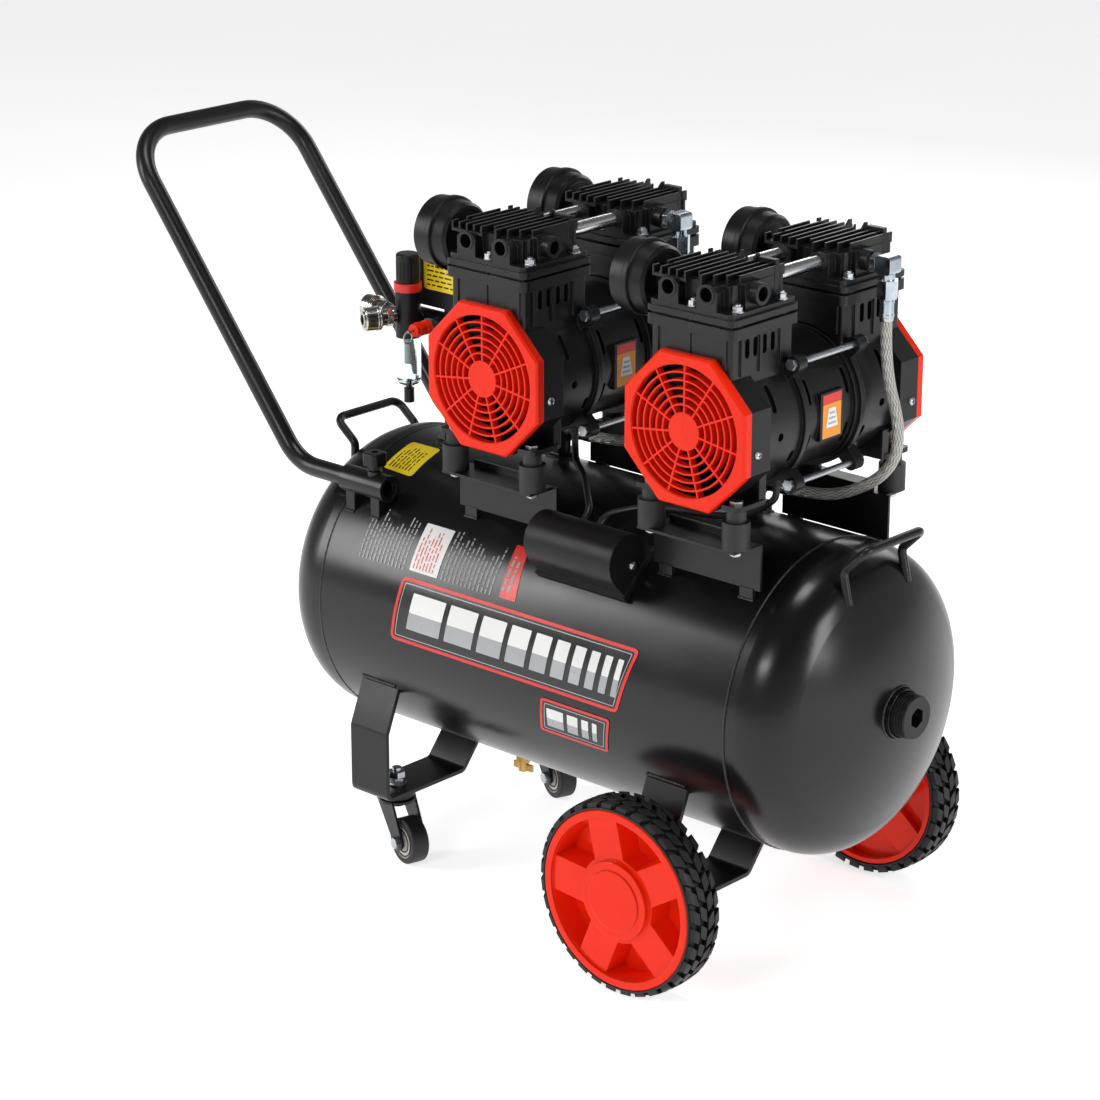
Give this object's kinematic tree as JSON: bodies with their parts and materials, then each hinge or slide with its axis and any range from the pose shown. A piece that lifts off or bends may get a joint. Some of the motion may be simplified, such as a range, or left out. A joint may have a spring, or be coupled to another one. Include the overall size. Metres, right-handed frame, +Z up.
{
  "type": "twin pump air compressor",
  "caption": "Portable oil-free air compressor: horizontal tank on wheels and swivel casters carrying double-ended piston pumps, hoses, regulator and a sliding push handle",
  "frame": {"origin": "floor point under the centre of the bounding box", "axes": "+X along the tank towards the two large wheels, -Y the labelled front side, +Z up"},
  "size_m": [0.992, 0.4374, 0.73],
  "materials": {
    "black_paint": "satin black powder coat",
    "black_casting": "black painted aluminium casting",
    "black_plastic": "moulded, lightly grained",
    "red_plastic": "moulded, semi-gloss",
    "zinc": "zinc plated",
    "bare_steel": "turned and ground",
    "lamination": "painted lamination stack",
    "aluminium": "drawn tube",
    "cast_aluminium": "machined casting",
    "nickel": "nickel plated brass",
    "brass": "turned brass",
    "rubber": "moulded rubber",
    "tyre": "solid rubber tyre",
    "braid": "stainless braid over rubber",
    "clear_plastic": "clear polycarbonate",
    "white_plastic": "sintered filter element"
  },
  "bodies": {
    "frame": {"air_hoses": "braid", "air_manifold": "black_paint", "capacitor_cover": "black_plastic", "carry_handles": "black_paint", "caster_leg_strap": "black_paint", "caster_stems": "black_paint", "coupler_bodies": "nickel", "crankcases": "black_casting", "cylinder_heads": "black_casting", "cylinder_liners": "cast_aluminium", "drain_cock": "brass", "end_plug": "black_plastic", "fan_guards": "red_plastic", "fan_shrouds": "black_plastic", "filter_bowl": "clear_plastic", "filter_element": "white_plastic", "handle_sleeves": "black_paint", "head_bolts": "zinc", "hose_fittings": "nickel", "intake_filters": "black_plastic", "link_tubes": "aluminium", "motor_leads": "rubber", "motor_stators": "lamination", "pistons": "cast_aluminium", "pump_brackets": "black_paint", "regulator_body": "black_plastic", "relief_valve": "red_plastic", "rubber_feet": "rubber", "run_capacitor": "aluminium", "switch_housing": "black_plastic", "tank_barrel": "black_paint", "tank_bungs": "black_paint", "tank_domes": "black_paint", "tie_bolts": "zinc", "valve_plates": "cast_aluminium", "wheel_axles": "zinc", "wheel_leg_strap": "black_paint"},
    "push_handle": {"push_handle": "black_paint"},
    "lock_knob_front": {"lock_knob_front": "black_plastic"},
    "lock_knob_rear": {"lock_knob_rear": "black_plastic"},
    "wheel_front": {"tyre_front": "tyre", "rim_front": "red_plastic"},
    "wheel_rear": {"tyre_rear": "tyre", "rim_rear": "red_plastic"},
    "caster_front": {"caster_fork_front": "black_paint"},
    "caster_rear": {"caster_fork_rear": "black_paint"},
    "caster_wheel_front": {"caster_wheel_front": "rubber"},
    "caster_wheel_rear": {"caster_wheel_rear": "rubber"},
    "rotor_a": {"rotor_a": "bare_steel", "fans_a": "black_plastic"},
    "rotor_b": {"rotor_b": "bare_steel", "fans_b": "black_plastic"},
    "regulator_knob": {"regulator_knob": "black_plastic"},
    "bowl_drain": {"bowl_drain": "black_plastic"},
    "relief_ring": {"relief_ring": "bare_steel"},
    "switch_knob": {"switch_knob": "black_plastic"},
    "coupler_sleeve_near": {"coupler_sleeve_near": "nickel"},
    "coupler_sleeve_far": {"coupler_sleeve_far": "nickel"},
    "drain_lever": {"drain_lever": "brass"}
  },
  "joints": [
    {"name": "handle_slide", "type": "slide", "parent": "frame", "child": "push_handle", "axis": [1, 0, 0], "range_m": [-0.03, 0.04]},
    {"name": "lock_front_turn", "type": "hinge", "parent": "frame", "child": "lock_knob_front", "pos_m": [-0.117, -0.115, 0.43], "axis": [0, 0, 1], "range_deg": [0, 360]},
    {"name": "lock_rear_turn", "type": "hinge", "parent": "frame", "child": "lock_knob_rear", "pos_m": [-0.117, 0.115, 0.43], "axis": [0, 0, 1], "range_deg": [0, 360]},
    {"name": "wheel_front_spin", "type": "hinge", "parent": "frame", "child": "wheel_front", "pos_m": [0.3024, -0.195, 0.1], "axis": [0, 1, 0], "continuous": true},
    {"name": "wheel_rear_spin", "type": "hinge", "parent": "frame", "child": "wheel_rear", "pos_m": [0.3024, 0.195, 0.1], "axis": [0, 1, 0], "continuous": true},
    {"name": "caster_front_swivel", "type": "hinge", "parent": "frame", "child": "caster_front", "pos_m": [-0.088, -0.119, 0.064], "axis": [0, 0, 1], "continuous": true},
    {"name": "caster_rear_swivel", "type": "hinge", "parent": "frame", "child": "caster_rear", "pos_m": [-0.088, 0.119, 0.064], "axis": [0, 0, 1], "continuous": true},
    {"name": "caster_front_roll", "type": "hinge", "parent": "caster_front", "child": "caster_wheel_front", "pos_m": [-0.06385, -0.12547, 0.025], "axis": [0.2588, 0.9659, 0], "continuous": true},
    {"name": "caster_rear_roll", "type": "hinge", "parent": "caster_rear", "child": "caster_wheel_rear", "pos_m": [-0.06451, 0.11045, 0.025], "axis": [0.342, 0.9397, 0], "continuous": true},
    {"name": "motor_a_spin", "type": "hinge", "parent": "frame", "child": "rotor_a", "pos_m": [0.057, 0, 0.5578], "axis": [0, 1, 0], "continuous": true},
    {"name": "motor_b_spin", "type": "hinge", "parent": "frame", "child": "rotor_b", "pos_m": [0.3157, 0, 0.5578], "axis": [0, 1, 0], "continuous": true},
    {"name": "regulator_turn", "type": "hinge", "parent": "frame", "child": "regulator_knob", "pos_m": [-0.14, -0.04, 0.62], "axis": [0, 0, 1], "range_deg": [-180, 180]},
    {"name": "bowl_drain_turn", "type": "hinge", "parent": "frame", "child": "bowl_drain", "pos_m": [-0.14, -0.04, 0.48], "axis": [0, 0, 1], "range_deg": [0, 90]},
    {"name": "relief_pull", "type": "slide", "parent": "frame", "child": "relief_ring", "axis": [0, -1, 0], "range_m": [0, 0.004], "stiffness_N_per_m": 300, "springref_m": -0.003},
    {"name": "switch_pull", "type": "slide", "parent": "frame", "child": "switch_knob", "axis": [0, 0, 1], "range_m": [0, 0.008]},
    {"name": "coupler_near_slide", "type": "slide", "parent": "frame", "child": "coupler_sleeve_near", "axis": [0.454, 0.891, 0], "range_m": [0, 0.005], "stiffness_N_per_m": 400, "springref_m": -0.002},
    {"name": "coupler_far_slide", "type": "slide", "parent": "frame", "child": "coupler_sleeve_far", "axis": [1, 0, 0], "range_m": [0, 0.005], "stiffness_N_per_m": 400, "springref_m": -0.002},
    {"name": "drain_turn", "type": "hinge", "parent": "frame", "child": "drain_lever", "pos_m": [-0.011, -0.005, 0.09], "axis": [0, 0, 1], "range_deg": [0, 90]}
  ]
}
